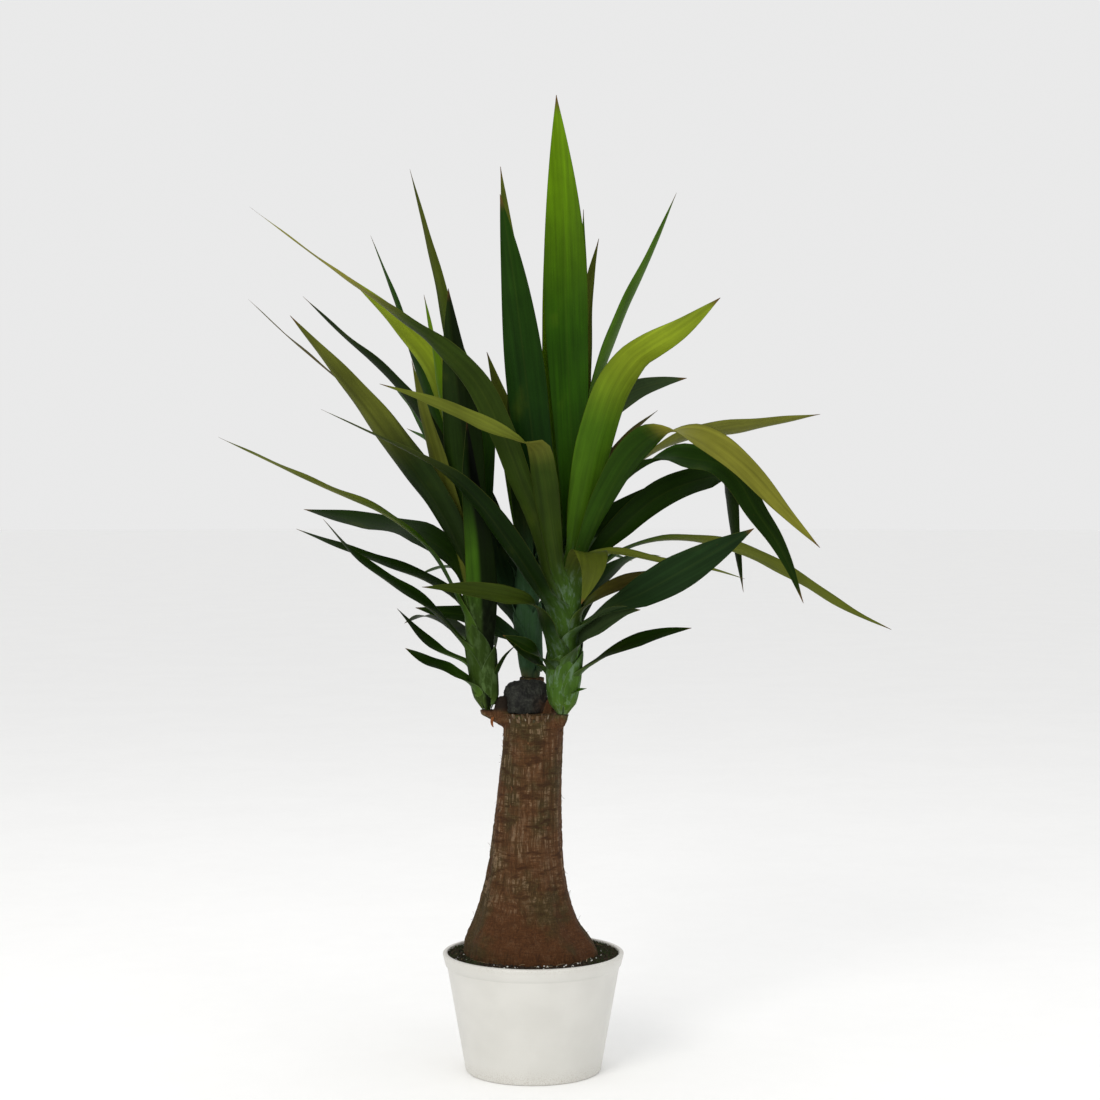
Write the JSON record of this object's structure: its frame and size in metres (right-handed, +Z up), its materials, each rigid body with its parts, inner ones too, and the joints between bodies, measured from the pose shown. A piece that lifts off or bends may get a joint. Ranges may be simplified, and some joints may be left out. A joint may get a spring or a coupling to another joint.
{
  "type": "potted yucca",
  "caption": "Potted yucca plant: thick flared cane with a sealed cut top, leafy shoots of long pointed leaves, standing in soil in a plain round pot; rests on its base.",
  "frame": {"origin": "middle of the pot's underside, on the surface it stands on", "axes": "+Z up along the height, +X to the right and +Y away from the viewer as pictured"},
  "size_m": [0.7437, 0.4548, 1.1],
  "materials": {
    "pot": "satin",
    "soil": "matte",
    "bark": "matte",
    "wax": "satin",
    "leaf_left": "satin",
    "leaf_right": "satin",
    "leaf_back": "satin"
  },
  "bodies": {
    "root": {"pot": "pot", "soil": "soil", "cane": "bark", "wax_seal": "wax", "shoot_left": "leaf_left", "shoot_right": "leaf_right", "shoot_back": "leaf_back"}
  },
  "joints": []
}
